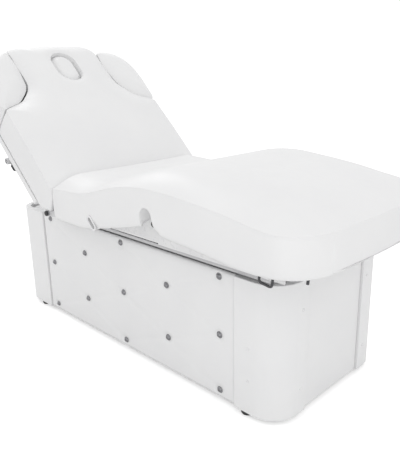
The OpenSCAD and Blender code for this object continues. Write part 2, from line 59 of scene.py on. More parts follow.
JOINTS = {j["name"]: j for j in frame["joints"]}
BACK_PIVOT = np.array(JOINTS["back_tilt"]["pos_m"])
THIGH_PIVOT = np.array(JOINTS["knee_lift"]["pos_m"])
KNEE_PIVOT = np.array(JOINTS["leg_fold"]["pos_m"])
NORMAL = np.array(JOINTS["plug_lift"]["axis"], float)
UP_SLOPE = np.array([-NORMAL[2], 0.0, NORMAL[0]])
SEAT_LOW, SEAT_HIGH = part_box("seat_cushion")
PANEL_LOW, PANEL_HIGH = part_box("side_panel_left")
FOOT_LOW, FOOT_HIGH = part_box("foot_panel")
HEAD_LOW, HEAD_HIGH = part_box("head_panel")
POST_LOW, POST_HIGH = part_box("corner_posts")
HALF_W = SEAT_HIGH[1]
FOOT_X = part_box("leg_cushion")[1][0]
# The cover of the seat swells a little past its block at the rear
SEAT_X = SEAT_LOW[0] - 0.007


def on_back(s, y, n):
    """A point in the back section: s up the slope, y across, n out of the cushion."""
    return BACK_PIVOT + s * UP_SLOPE + n * NORMAL + np.array([0.0, y, 0.0])


# ---- camera and stage ----

CAMERA_PLACE = (1.5153, -1.3323, 0.9948)
CAMERA_YAW, CAMERA_PITCH, CAMERA_ROLL = 135.3004, -16.708, -1.168
CAMERA_LENS = 42.59

def make_camera():
    """Stands a little above the bed, off its foot end and right side."""
    yaw, pitch, roll = (math.radians(a) for a in (CAMERA_YAW, CAMERA_PITCH, CAMERA_ROLL))
    look = Vector((math.cos(pitch) * math.cos(yaw), math.cos(pitch) * math.sin(yaw),
                   math.sin(pitch)))
    right = look.cross(Vector((0, 0, 1))).normalized()
    up = right.cross(look)
    right, up = (math.cos(roll) * right + math.sin(roll) * up,
                 -math.sin(roll) * right + math.cos(roll) * up)
    data = bpy.data.cameras.new("camera")
    data.lens = CAMERA_LENS
    camera = bpy.data.objects.new("camera", data)
    turn = Matrix((right, up, -look)).transposed().to_4x4()
    camera.matrix_world = Matrix.Translation(CAMERA_PLACE) @ turn
    bpy.context.scene.collection.objects.link(camera)
    bpy.context.scene.camera = camera


def make_light(name, place, aim, size, power):
    data = bpy.data.lights.new(name, "AREA")
    data.shape = "DISK"
    data.size = size
    data.energy = power
    light = bpy.data.objects.new(name, data)
    light.location = place
    light.rotation_euler = (Vector(aim) - Vector(place)).to_track_quat("-Z", "Y").to_euler()
    bpy.context.scene.collection.objects.link(light)


# Brightness of the sky as a lamp, and as the pure white backdrop that the camera sees
SKY_LIGHT, SKY_SEEN = 0.98, 1.1
# Glow that the camera sees on the floor, so that it meets the backdrop without an edge
FLOOR_GLOW = 0.42
FLOOR_HALF = 30.0
# Name, place, aim, size and power of each lamp
LAMPS = (("key", (-1.2, -2.6, 2.6), (0.0, 0.0, 0.5), 1.8, 3.0),
         ("rim", (-2.3, 0.5, 2.8), (0.1, 0.0, 0.6), 1.2, 12.0),
         ("fill", (3.2, 0.6, 2.2), (0.2, 0.0, 0.5), 2.0, 4.0),
         ("low", (1.8, -1.8, 0.3), (0.1, 0.0, 0.5), 2.0, 6.0))


def seen_or_lighting(tree, seen, lighting, socket):
    """Gives a socket one value for what the camera sees and another for the light it casts."""
    ray = tree.nodes.new("ShaderNodeLightPath")
    mix = tree.nodes.new("ShaderNodeMapRange")
    mix.inputs["To Min"].default_value = lighting
    mix.inputs["To Max"].default_value = seen
    tree.links.new(ray.outputs["Is Camera Ray"], mix.inputs["Value"])
    tree.links.new(mix.outputs["Result"], socket)


def make_stage():
    """A wide pale floor, an even bright sky and large soft lamps."""
    scene = bpy.context.scene
    scene.view_settings.view_transform = "Standard"
    world = bpy.data.worlds.new("studio")
    world.use_nodes = True
    sky = world.node_tree.nodes["Background"]
    sky.inputs["Color"].default_value = (1.0, 1.0, 1.0, 1.0)
    seen_or_lighting(world.node_tree, SKY_SEEN, SKY_LIGHT, sky.inputs["Strength"])
    scene.world = world
    mesh = bpy.data.meshes.new("floor")
    side = FLOOR_HALF
    mesh.from_pydata([(-side, -side, 0), (side, -side, 0), (side, side, 0), (-side, side, 0)], [],
                     [(0, 1, 2, 3)])
    floor = bpy.data.objects.new("floor", mesh)
    scene.collection.objects.link(floor)
    paint = bpy.data.materials.new("floor_paint")
    paint.use_nodes = True
    shader = paint.node_tree.nodes["Principled BSDF"]
    shader.inputs["Base Color"].default_value = (0.86, 0.86, 0.86, 1.0)
    shader.inputs["Roughness"].default_value = 1.0
    shader.inputs["Specular IOR Level"].default_value = 0.0
    shader.inputs["Emission Color"].default_value = (1.0, 1.0, 1.0, 1.0)
    seen_or_lighting(paint.node_tree, FLOOR_GLOW, 0.0,
                     shader.inputs["Emission Strength"])
    mesh.materials.append(paint)
    for lamp in LAMPS:
        make_light(*lamp)


# ---- materials ----


class Paint:
    """A Principled material with short helpers for its procedural nodes."""

    def __init__(self, name, color, rough, metallic=0.0):
        self.material = bpy.data.materials.new(name)
        self.material.use_nodes = True
        self.nodes = self.material.node_tree.nodes
        self.links = self.material.node_tree.links
        self.shader = self.nodes["Principled BSDF"]
        self.color = color
        self.shader.inputs["Base Color"].default_value = (*color, 1.0)
        self.shader.inputs["Roughness"].default_value = rough
        self.shader.inputs["Metallic"].default_value = metallic
        self.rough = rough
        self.place = self.nodes.new("ShaderNodeTexCoord").outputs["Object"]
        self.height = None

    def set(self, socket, value):
        self.shader.inputs[socket].default_value = value
        return self

    def stretched(self, scale):
        node = self.nodes.new("ShaderNodeMapping")
        node.inputs["Scale"].default_value = scale
        self.links.new(self.place, node.inputs["Vector"])
        return node.outputs["Vector"]

    def noise(self, scale, detail=4.0, rough=0.55, vector=None):
        node = self.nodes.new("ShaderNodeTexNoise")
        node.inputs["Scale"].default_value = scale
        node.inputs["Detail"].default_value = detail
        node.inputs["Roughness"].default_value = rough
        self.links.new(vector or self.place, node.inputs["Vector"])
        return node.outputs["Fac"]

    def cells(self, scale, feature="F1"):
        node = self.nodes.new("ShaderNodeTexVoronoi")
        node.feature = feature
        node.inputs["Scale"].default_value = scale
        self.links.new(self.place, node.inputs["Vector"])
        return node.outputs["Distance"]

    def span(self, value, low, high, low_in=0.3, high_in=0.7):
        node = self.nodes.new("ShaderNodeMapRange")
        node.inputs["From Min"].default_value = low_in
        node.inputs["From Max"].default_value = high_in
        node.inputs["To Min"].default_value = low
        node.inputs["To Max"].default_value = high
        self.links.new(value, node.inputs["Value"])
        return node.outputs["Result"]

    def vary_rough(self, value, spread):
        self.links.new(self.span(value, self.rough - spread, self.rough + spread),
                       self.shader.inputs["Roughness"])
        return self

    def vary_color(self, value, other, low_in=0.3, high_in=0.7):
        mix = self.nodes.new("ShaderNodeMix")
        mix.data_type = "RGBA"
        mix.inputs["A"].default_value = (*self.color, 1.0)
        mix.inputs["B"].default_value = (*other, 1.0)
        self.links.new(self.span(value, 0.0, 1.0, low_in, high_in), mix.inputs["Factor"])
        self.links.new(mix.outputs["Result"], self.shader.inputs["Base Color"])
        return self

    def bump(self, value, depth, strength=1.0):
        node = self.nodes.new("ShaderNodeBump")
        node.inputs["Distance"].default_value = depth
        node.inputs["Strength"].default_value = strength
        self.links.new(value, node.inputs["Height"])
        if self.height is not None:
            self.links.new(self.height, node.inputs["Normal"])
        self.height = node.outputs["Normal"]
        self.links.new(self.height, self.shader.inputs["Normal"])
        return self


def vinyl(name, color, shade, rough, puff):
    """Soft upholstery vinyl: pebbled grain, slow waves of the padding and faint cloudiness."""
    paint = Paint(name, color, rough)
    paint.vary_color(paint.noise(5.0), shade)
    paint.vary_rough(paint.noise(38.0), 0.05)
    paint.bump(paint.noise(9.0, 2.0), 0.004, puff)
    paint.bump(paint.cells(620.0), 0.0002, 0.45)
    paint.bump(paint.noise(1400.0, 2.0), 0.00012, 0.4)
    paint.set("Specular IOR Level", 0.42)
    paint.set("Coat Weight", 0.08).set("Coat Roughness", 0.35)
    return paint.material


def plastic(name, color, shade, rough, grain):
    paint = Paint(name, color, rough)
    paint.vary_color(paint.noise(14.0), shade)
    paint.vary_rough(paint.noise(60.0), 0.06)
    paint.bump(paint.noise(grain, 3.0), 0.00015, 0.5)
    return paint.material


def coated_steel(name, color, shade):
    """Powder coat: orange-peel skin over slightly uneven colour."""
    paint = Paint(name, color, 0.42)
    paint.vary_color(paint.noise(8.0), shade)
    paint.vary_rough(paint.noise(45.0), 0.07)
    paint.bump(paint.cells(480.0, "SMOOTH_F1"), 0.00018, 0.5)
    return paint.material


def bare_metal(name, color, shade, rough, scale, strength):
    """Drawn or turned metal with fine lines along the stretched axis."""
    paint = Paint(name, color, rough, 1.0)
    lines = paint.noise(60.0, 3.0, 0.6, paint.stretched(scale))
    paint.vary_color(lines, shade)
    paint.vary_rough(lines, 0.07)
    paint.bump(lines, 0.00008, strength)
    return paint.material


WHITE = (0.80, 0.80, 0.802)
PAINTS = {
    "upholstery": vinyl("white_upholstery", WHITE, (0.775, 0.775, 0.78), 0.43, 0.10),
    "panel_vinyl": vinyl("white_panel_vinyl", WHITE, (0.775, 0.775, 0.78), 0.36, 0.05),
    # Stud chrome: the metal colour is darkened as a painted reflection, standing in for the dark ring that the
    # studs reflect
    "stud_chrome": bare_metal("stud_chrome", (0.32, 0.32, 0.33), (0.22, 0.22, 0.23), 0.20,
                              (1, 1, 1), 0.2),
    # Frame steel: light powder coat, also made lighter as painted light to lift the shade inside the frame
    "frame_steel": coated_steel("white_steel", (0.72, 0.72, 0.73), (0.66, 0.66, 0.67)),
    "dark_steel": coated_steel("dark_steel", (0.06, 0.06, 0.065), (0.045, 0.045, 0.05)),
    # Rail steel: grey paint, made lighter as painted light to lift the shade under the cushion overhang
    "rail_steel": coated_steel("light_steel", (0.60, 0.60, 0.61), (0.54, 0.54, 0.55)),
    "bright_steel": bare_metal("zinc_steel", (0.56, 0.56, 0.58), (0.46, 0.47, 0.49), 0.30,
                               (1, 14, 14), 0.4),
    "column_aluminium": bare_metal("column_aluminium", (0.62, 0.63, 0.65), (0.54, 0.55, 0.57), 0.36,
                                   (14, 14, 1), 0.4),
    "black_plastic": plastic("black_plastic", (0.018, 0.018, 0.02), (0.03, 0.03, 0.032), 0.45,
                             900.0),
    "housing_plastic": plastic("housing_plastic", (0.30, 0.31, 0.32), (0.26, 0.27, 0.28), 0.45,
                               700.0),
    "white_plastic": plastic("white_plastic", (0.80, 0.80, 0.80), (0.74, 0.74, 0.75), 0.30, 500.0),
    "rubber": plastic("glide_rubber", (0.02, 0.02, 0.021), (0.035, 0.035, 0.036), 0.62, 1100.0),
}


def paint_cad_nodes():
    slots = {p["node"]: p["material_slot"] for p in frame["record"]["subparts"]}
    for name, thing in frame["nodes"].items():
        thing.data.materials.clear()
        thing.data.materials.append(PAINTS[slots[name]])


# ---- mesh helpers ----


def add_piece(name, points, faces, body, slot):
    mesh = bpy.data.meshes.new(name)
    mesh.from_pydata([tuple(p) for p in points], [], faces)
    mesh.validate()
    mesh.update()
    piece = bpy.data.objects.new(name, mesh)
    bpy.context.scene.collection.objects.link(piece)
    mesh.materials.append(PAINTS[slot])
    smooth_all(piece)
    clean_mesh(piece)
    if body:
        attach(piece, body)
    return piece


def smooth_all(piece):
    piece.data.polygons.foreach_set("use_smooth", [True] * len(piece.data.polygons))


def clean_mesh(piece):
    """Merges doubled points and turns every face outwards."""
    work = bmesh.new()
    work.from_mesh(piece.data)
    bmesh.ops.remove_doubles(work, verts=work.verts, dist=1e-5)
    bmesh.ops.dissolve_degenerate(work, edges=work.edges, dist=1e-6)
    bmesh.ops.recalc_face_normals(work, faces=work.faces)
    work.to_mesh(piece.data)
    work.free()


def apply_modifiers(piece):
    """Keeps the mesh that the modifiers make, and drops the modifiers."""
    bpy.context.view_layer.update()
    seen = piece.evaluated_get(bpy.context.evaluated_depsgraph_get())
    mesh = bpy.data.meshes.new_from_object(seen)
    piece.modifiers.clear()
    piece.data = mesh


def bevel(piece, width, segments=3):
    step = piece.modifiers.new("edge", "BEVEL")
    step.width = width
    step.segments = segments
    step.limit_method = "ANGLE"
    step.angle_limit = math.radians(35)
    step.harden_normals = False
    apply_modifiers(piece)
    return piece


def cut(piece, cutter):
    """Cuts a closed tool out of a piece and deletes the tool."""
    step = piece.modifiers.new("cut", "BOOLEAN")
    step.operation = "DIFFERENCE"
    step.solver = "EXACT"
    step.object = cutter
    apply_modifiers(piece)
    bpy.data.objects.remove(cutter)


def prism(name, outline, low, high, place=lambda x, y, z: (x, y, z)):
    """A closed straight prism: an outline in its own x and y, made thick along its z."""
    count = len(outline)
    points = [place(x, y, low) for x, y in outline] + [place(x, y, high) for x, y in outline]
    faces = [tuple(range(count)), tuple(range(2 * count - 1, count - 1, -1))]
    faces += [(i, i + count, (i + 1) % count + count, (i + 1) % count) for i in range(count)]
    mesh = bpy.data.meshes.new(name)
    mesh.from_pydata([tuple(p) for p in points], [], faces)
    tool = bpy.data.objects.new(name, mesh)
    bpy.context.scene.collection.objects.link(tool)
    clean_mesh(tool)
    return tool


def stadium(length, width, steps=10):
    """Outline of a slot with round ends, along x."""
    reach = (length - width) / 2
    turns = [math.pi * k / steps for k in range(steps + 1)]
    right = [(reach + width / 2 * math.sin(a), -width / 2 * math.cos(a)) for a in turns]
    return right + [(-x, -y) for x, y in right]


def curve_through(points):
    """A smooth function through (place, value) pairs, level beyond its ends."""
    xs = np.array([p[0] for p in points], float)
    ys = np.array([p[1] for p in points], float)
    slopes = np.gradient(ys, xs)

    def value(x):
        x = np.clip(np.asarray(x, float), xs[0], xs[-1])
        i = np.clip(np.searchsorted(xs, x) - 1, 0, len(xs) - 2)
        h = xs[i + 1] - xs[i]
        t = (x - xs[i]) / h
        return ((2 * t ** 3 - 3 * t ** 2 + 1) * ys[i] + (t ** 3 - 2 * t ** 2 + t) * h * slopes[i]
                + (-2 * t ** 3 + 3 * t ** 2) * ys[i + 1] + (t ** 3 - t ** 2) * h * slopes[i + 1])

    return value


def soft_edge(distance, reach):
    """0 at an edge, rising round and level after reach."""
    t = np.clip(distance / reach, 0.0, 1.0)
    return 1.0 - (1.0 - t) ** 2.3


def row_spacing(count, ends=1.0):
    """Places from -1 to 1, closer together near both ends."""
    t = np.linspace(-1, 1, count)
    return np.sin(t * math.pi / 2) * ends + t * (1 - ends)


# ---- cushions ----

SEAM_SINK = 0.0016
HEM_FOLD = 0.010
END_SWELL = 0.003


def pad_mesh(stations, left, right, hem, seam, crown, under, place, columns=56, band_rows=9,
             puff=0.003):
    """Points and faces of a banded cushion.

    At each station it is a section from left to right: the band rises from the hem to a sunk
    seam line, the crown swells above the seam, and the underside closes above the hem.
    """
    rings = []
    across = row_spacing(columns, 0.75)
    for u in stations:
        a, b = right(u), left(u)
        low, top, floor = hem(u), seam(u), under(u)
        tall = top - low
        rows = []
        rises = np.linspace(0.0, 1.0, band_rows)
        for t in rises:
            out = puff * math.sin(math.pi * min(1.0, t * 1.04)) ** 0.8 - SEAM_SINK * (t > 0.999)
            out -= 0.004 * (t < 0.001)
            rows.append((out, low + 0.002 * (t < 0.001) + tall * t))
        band_right = [(a - out, z) for out, z in rows]
        band_left = [(b + out, z) for out, z in rows]
        middle, half = (a + b) / 2, (b - a) / 2
        top_row = []
        for k in across:
            y = middle + k * (half + puff * 0.4)
            top_row.append((y, top + 0.004 + crown(u, y, half - abs(y - middle))))
        fold = min(HEM_FOLD, half * 0.3)
        inner_right, inner_left = (a + fold, floor), (b - fold, floor)
        ring = ([inner_right, (a + fold, low + 0.004)] + band_right + top_row
                + band_left[::-1] + [(b - fold, low + 0.004), inner_left])
        ring += [(inner_left[0] + (inner_right[0] - inner_left[0]) * t, floor)
                 for t in np.linspace(0, 1, 10)[1:-1]]
        rings.append([place(u, y, z) for y, z in ring])
    size = len(rings[0])
    points = [p for ring in rings for p in ring]
    faces = []
    for i in range(len(rings) - 1):
        for j in range(size):
            k = (j + 1) % size
            faces.append((i * size + j, i * size + k, (i + 1) * size + k, (i + 1) * size + j))
    return points, faces, size, columns, band_rows


def close_end(points, faces, size, columns, band_rows, start, bow):
    """Closes one end of a banded cushion with rows from the left band to the right band."""
    right = list(range(2, 2 + band_rows))
    top = list(range(2 + band_rows, 2 + band_rows + columns))
    left = list(range(2 + band_rows + columns, 2 + 2 * band_rows + columns))[::-1]
    spans = len(top)
    grid = []
    for r in range(band_rows):
        a = np.array(points[start + right[r]], float)
        b = np.array(points[start + left[r]], float)
        row = [start + right[r]]
        for c in range(1, spans - 1):
            base = np.array(points[start + top[c]], float)
            t = np.dot(base - a, b - a) / max(np.dot(b - a, b - a), 1e-9)
            swell = bow * math.sin(math.pi * r / (band_rows - 1)) ** 0.8
            points.append(a + (b - a) * t + swell)
            row.append(len(points) - 1)
        row.append(start + left[r])
        grid.append(row)
    grid.append([start + i for i in top])
    for r in range(len(grid) - 1):
        for c in range(spans - 1):
            faces.append((grid[r][c], grid[r][c + 1], grid[r + 1][c + 1], grid[r + 1][c]))
    low = [start + 0, start + 1] + grid[0] + [start + size - 10, start + size - 9]
    rest = [start + size - 8 + k for k in range(8)]
    faces.append(tuple(low + rest))


def cushion(name, stations, left, right, hem, seam, crown, under, place, along, **shape):
    """A banded cushion with both ends closed, bulging a little along its length at the ends.

    It is not yet fixed to a body, as some cushions are first parted or cut.
    """
    points, faces, size, columns, rows = pad_mesh(stations, left, right, hem, seam, crown, under,
                                                  place, **shape)
    points = [np.array(p, float) for p in points]
    swell = np.array(along) * END_SWELL
    last = (len(stations) - 1) * size
    close_end(points, faces, size, columns, rows, 0, -swell)
    close_end(points, faces, size, columns, rows, last, swell)
    return add_piece(name, points, faces, None, "upholstery")


def smoother(piece):
    """One more level of subdivision, kept in the mesh."""
    step = piece.modifiers.new("round", "SUBSURF")
    step.levels = 1
    step.render_levels = step.levels
    apply_modifiers(piece)


# ---- seat, thigh and leg: one long cushion ----

# Heights along the bed of the seam and the hem, and of the crown over the seam, in mm
MILLI = 0.001
SHIFT = BACK_PIVOT[0] + 0.308
SEAM_LINE = curve_through([(-245, 580), (-150, 584), (-60, 590), (20, 609), (90, 629), (165, 644),
                           (250, 653), (330, 653), (454, 645), (580, 632), (700, 614), (790, 609),
                           (840, 609)])
CROWN_LINE = curve_through([(-245, 50), (-150, 42), (-60, 33), (20, 28), (90, 30), (165, 36),
                            (250, 46), (330, 52), (454, 50), (580, 48), (700, 46), (840, 42)])
HEM_LINE = curve_through([(-245, 467), (-140, 467), (-60, 468), (25, 484), (100, 499), (200, 522),
                          (270, 538), (305, 536), (345, 521), (380, 517), (430, 514), (520, 506),
                          (580, 500), (640, 495), (760, 498), (840, 500)])
CORNER_L, CORNER_W = 0.112, 0.125
CROWN_REACH = 0.12


def plain_x(x):
    return (x - SHIFT) / MILLI


def mattress_half(x):
    """Half the width of the long cushion: straight, then round corners at the foot end."""
    t = np.clip((x - (FOOT_X - CORNER_L)) / CORNER_L, 0.0, 1.0)
    rear = np.clip((SEAT_X + 0.014 - x) / 0.014, 0.0, 1.0)
    return (HALF_W - 0.003 - CORNER_W * (1.0 - math.sqrt(max(0.0, 1.0 - t ** 2.2)))
            - 0.014 * (1.0 - math.sqrt(max(0.0, 1.0 - rear ** 2))))


def mattress_hem(x):
    return float(HEM_LINE(plain_x(x))) * MILLI


def mattress_seam(x):
    return float(SEAM_LINE(plain_x(x))) * MILLI


def mattress_under(x):
    """Underside, resting on the section boards."""
    if x < THIGH_PIVOT[0]:
        base = THIGH_PIVOT[2]
    elif x < KNEE_PIVOT[0]:
        t = (x - THIGH_PIVOT[0]) / (KNEE_PIVOT[0] - THIGH_PIVOT[0])
        base = THIGH_PIVOT[2] + t * (KNEE_PIVOT[2] - THIGH_PIVOT[2]) + 0.012 * min(1.0, 8 * t)
    else:
        base = KNEE_PIVOT[2] - math.tan(math.radians(7)) * (x - KNEE_PIVOT[0]) + 0.012
    return max(base, mattress_hem(x) + 0.0015)


def mattress_crown(x, y, inside):
    """Height above the seam: rounded towards the sides, the rear and the foot end."""
    foot = soft_edge(np.array(FOOT_X - x), 0.16)
    rear = soft_edge(np.array(x - SEAT_X), 0.04)
    sides = soft_edge(np.array(max(inside, 0.0)), CROWN_REACH)
    dish = 0.003 * math.sin(9.0 * x + 1.0) * math.cos(7.0 * y)
    tall = float(CROWN_LINE(plain_x(x))) * MILLI - 0.004
    return float((tall + dish) * sides * foot * rear)


def build_mattress():
    """The long cushion, to be parted at the middle of the thigh section."""
    body = list(np.linspace(SEAT_X + 0.014, FOOT_X - CORNER_L, 92))
    rear = [SEAT_X + 0.014 * (1 - math.cos(a)) for a in np.linspace(0, math.pi / 2, 6)[:-1]]
    foot = [FOOT_X - CORNER_L + CORNER_L * math.sin(a) for a in np.linspace(0, math.pi / 2, 22)[1:]]
    stations = rear + body + foot
    whole = cushion("mattress", stations, mattress_half, lambda x: -mattress_half(x), mattress_hem,
                    mattress_seam, mattress_crown, mattress_under,
                    lambda u, y, z: (u, y, z), (1.0, 0, 0))
    bow_foot_end(whole)
    smoother(whole)
    cut_side_openings(whole)
    return whole


def bow_foot_end(piece):
    """The foot end is slightly curved in plan."""
    for v in piece.data.vertices:
        t = min(1.0, max(0.0, (v.co.x - (FOOT_X - 0.16)) / 0.16))
        v.co.x -= 0.016 * t * (abs(v.co.y) / HALF_W) ** 2


def arch_outline():
    """The arched opening in the side band at the knee hinge, from below the hem upwards."""
    half, rise, middle = 0.0275, 0.030, -0.0175
    turns = [math.pi * k / 14 for k in range(15)]
    arc = [(middle + half * math.cos(a), 0.018 + rise * math.sin(a)) for a in turns]
    foot = [(0.034, -0.050), (0.034, -0.017), (0.022, -0.010), (0.014, 0.001)]
    outline = foot + arc + [(middle - half, -0.050)]
    return [(KNEE_PIVOT[0] + x, KNEE_PIVOT[2] + z) for x, z in outline]


def socket_outline():
    """The slanted slot in the side band of the thigh section."""
    low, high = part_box("side_sockets")
    middle = ((low[0] + high[0]) / 2, (low[2] + high[2]) / 2)
    tilt = math.radians(-46.8)
    turn = lambda x, z: (middle[0] + x * math.cos(tilt) - z * math.sin(tilt),
                         middle[1] + x * math.sin(tilt) + z * math.cos(tilt))
    return [turn(x, z) for x, z in stadium(0.0526, 0.0226)]


def cut_side_openings(piece):
    for side in (-1, 1):
        for name, outline, depth in (("arch", arch_outline(), 0.05),
                                     ("socket", socket_outline(), 0.06)):
            tool = prism(name, outline, HALF_W - depth, HALF_W + 0.02,
                         lambda x, z, y, side=side: (x, side * y, z))
            cut(piece, tool)


def split_at(piece, x):
    """Two objects from one, parted at a plane across the bed."""
    mesh = piece.data
    mesh.update()
    halves = []
    for name, keep_high in (("seat_and_thigh_cushion", False), ("thigh_and_leg_cushion", True)):
        work = bmesh.new()
        work.from_mesh(mesh)
        geometry = list(work.verts) + list(work.edges) + list(work.faces)
        bmesh.ops.bisect_plane(work, geom=geometry, plane_co=(x, 0, 0), plane_no=(1, 0, 0),
                               clear_inner=keep_high, clear_outer=not keep_high, dist=1e-6)
        half = bpy.data.meshes.new(name)
        work.to_mesh(half)
        work.free()
        half.materials.append(PAINTS["upholstery"])
        thing = bpy.data.objects.new(name, half)
        smooth_all(thing)
        bpy.context.scene.collection.objects.link(thing)
        halves.append(thing)
    bpy.data.objects.remove(piece)
    return halves


def make_mattress():
    middle = (THIGH_PIVOT[0] + KNEE_PIVOT[0]) / 2
    seat, leg = split_at(build_mattress(), middle)
    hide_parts("seat_cushion", "thigh_cushion")
    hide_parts("leg_cushion")
    for piece, bodies, pivot in ((seat, ("carriage", "thigh"), THIGH_PIVOT),
                                 (leg, ("thigh", "leg"), KNEE_PIVOT)):
        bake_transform(piece)


# ---- back, face hole plug and arm cushions ----

BACK_L = 0.796
BACK_SEAM = 0.107
BACK_HEM = -0.016
BOARD_LOW = -0.040
HEAD_HALF = 0.217
HEAD_CORNER = 0.065
SHOULDER = curve_through([(0.400, 0.373), (0.412, 0.371), (0.420, 0.362), (0.430, 0.338),
                          (0.448, 0.296), (0.478, 0.262), (0.512, 0.234), (0.540, 0.221),
                          (0.565, HEAD_HALF)])
PLUG_S = 0.626
PLUG_L, PLUG_W = 0.081, 0.056
HOLE_GAP = 0.0035


def back_half(s):
    """Half the width of the back: full below the shoulders, narrow at the head."""
    t = min(1.0, max(0.0, (s - (BACK_L - HEAD_CORNER)) / HEAD_CORNER))
    return float(SHOULDER(s)) - HEAD_CORNER * (1.0 - math.sqrt(1.0 - t * t)) - 0.002


def outline_of(stations, left, right):
    return np.array([(s, left(s)) for s in stations] + [(s, right(s)) for s in stations[::-1]])


def distance_to(outline):
    """Distance in the pad's plane from a point to a closed outline."""
    a = outline
    b = np.roll(outline, -1, axis=0)
    step = b - a
    square = np.maximum((step ** 2).sum(1), 1e-12)

    def distance(s, y):
        p = np.array([s, y])
        t = np.clip(((p - a) * step).sum(1) / square, 0, 1)
        return float(np.sqrt((((a + step * t[:, None]) - p) ** 2).sum(1).min()))

    return distance


def hole_stadium(grow):
    return [(x + PLUG_S, y) for x, y in stadium(2 * (PLUG_L + grow), 2 * (PLUG_W + grow), 24)]


def make_back():
    stations = list(np.linspace(-0.012, 0.400, 56)) + list(np.linspace(0.400, 0.460, 26)[1:])
    stations += list(np.linspace(0.460, 0.570, 20)[1:])
    stations += list(np.linspace(0.570, BACK_L - HEAD_CORNER, 30)[1:])
    stations += [BACK_L - HEAD_CORNER * (1 - math.sin(a))
                 for a in np.linspace(0, math.pi / 2, 9)[1:]]
    hem = curve_through([(-0.012, 0.030), (0.006, 0.012), (0.026, -0.008), (0.045, BACK_HEM),
                         (0.090, BACK_HEM)])
    seam = curve_through([(-0.012, 0.050), (0.0, 0.078), (0.022, 0.098), (0.050, 0.105),
                          (0.090, BACK_SEAM), (0.650, BACK_SEAM), (0.740, 0.104), (0.796, 0.092)])
    edge = distance_to(outline_of(stations, back_half, lambda s: -back_half(s)))
    hole = distance_to(np.array(hole_stadium(HOLE_GAP)))

    def crown(s, y, inside):
        rise = soft_edge(np.array(edge(s, y)), 0.11)
        rise = rise * (0.74 + 0.26 * soft_edge(np.array(hole(s, y)), 0.04))
        wave = 0.002 * math.sin(11.0 * s) * math.cos(9.0 * y)
        return float((0.028 + wave) * rise)

    place = lambda s, y, n: on_back(s, y, n)
    piece = cushion("back_cushion_cover", stations, back_half, lambda s: -back_half(s),
                    lambda s: float(hem(s)), lambda s: float(seam(s)), crown,
                    lambda s: float(hem(s)) + 0.001, place, UP_SLOPE)
    smoother(piece)
    cut(piece, prism("hole", hole_stadium(HOLE_GAP), BOARD_LOW, 0.2, place))
    smooth_all(piece)
    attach(piece, "back")
    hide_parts("back_cushion")
    make_plug(place)
    for side, name in ((1, "left"), (-1, "right")):
        make_arm(side, name)


def make_plug(place):
    turns = np.linspace(0, math.pi, 40)
    stations = [PLUG_S - 0.9995 * PLUG_L * math.cos(a) for a in turns]

    def half(s):
        reach = max(0.0, abs(s - PLUG_S) - (PLUG_L - PLUG_W))
        return math.sqrt(max(1e-8, PLUG_W ** 2 - reach ** 2)) - 0.0005

    edge = distance_to(outline_of(stations, half, lambda s: -half(s)))
    crown = lambda s, y, inside: float(0.023 * soft_edge(np.array(edge(s, y)), 0.6 * PLUG_W))
    piece = cushion("face_plug_cover", stations, half, lambda s: -half(s),
                    lambda s: BACK_HEM + 0.001, lambda s: BACK_SEAM, crown,
                    lambda s: BACK_HEM + 0.002, place, UP_SLOPE * 0.2,
                    columns=30, puff=0.0012)
    smoother(piece)
    smooth_all(piece)
    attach(piece, "plug")
    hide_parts("face_plug")


ARM_OUTER = curve_through([(0.424, 0.368), (0.440, 0.378), (0.480, 0.383), (0.565, 0.386),
                           (0.635, 0.380), (0.676, 0.366), (0.712, 0.338), (0.732, 0.304),
                           (0.740, 0.268)])
ARM_INNER = curve_through([(0.424, 0.364), (0.430, 0.351), (0.448, 0.305), (0.478, 0.270),
                           (0.512, 0.241), (0.540, 0.227), (0.565, 0.223), (0.715, 0.223),
                           (0.734, 0.228), (0.740, 0.240)])


def make_arm(side, name):
    """One arm cushion beside the head, on its own board with two slide rods."""
    stations = [0.424 + 0.316 * (1 - math.cos(a)) / 2 for a in np.linspace(0, math.pi, 46)]
    outer, inner = (lambda s: float(ARM_OUTER(s))), (lambda s: float(ARM_INNER(s)))
    edge = distance_to(outline_of(stations, outer, inner))
    crown = lambda s, y, inside: float(0.024 * soft_edge(np.array(edge(s, y)), 0.075))
    place = lambda s, y, n: on_back(s, side * y, n)
    cover = cushion(f"arm_cushion_cover_{name}", stations, outer, inner, lambda s: BACK_HEM,
                    lambda s: BACK_SEAM, crown, lambda s: BACK_HEM + 0.001, place, UP_SLOPE * 0.5,
                    columns=34)
    smoother(cover)
    smooth_all(cover)
    body = f"arm_{name}"
    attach(cover, body)
    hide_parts(f"arm_cushion_{name}")
    ring = [(s, outer(s) - 0.010) for s in stations[3:-3:2]]
    ring += [(s, inner(s) + 0.006) for s in stations[-4:2:-2]]
    board = prism(f"arm_board_{name}", ring, BOARD_LOW, BACK_HEM - 0.0005, place)
    finish_hard(board, body, "panel_vinyl", 0.0015)
    for k, s in enumerate((0.520, 0.690)):
        rod = tube(f"arm_rod_{name}_{k}", place(s, 0.056, BOARD_LOW - 0.010),
                   place(s, 0.300, BOARD_LOW - 0.010), 0.007)
        finish_hard(rod, body, "bright_steel", 0.0012)
        saddle = prism(f"arm_saddle_{name}_{k}", [(s - 0.012, 0.240), (s + 0.012, 0.240),
                                                  (s + 0.012, 0.300), (s - 0.012, 0.300)],
                       BOARD_LOW - 0.006, BOARD_LOW, place)
        finish_hard(saddle, body, "frame_steel", 0.001)


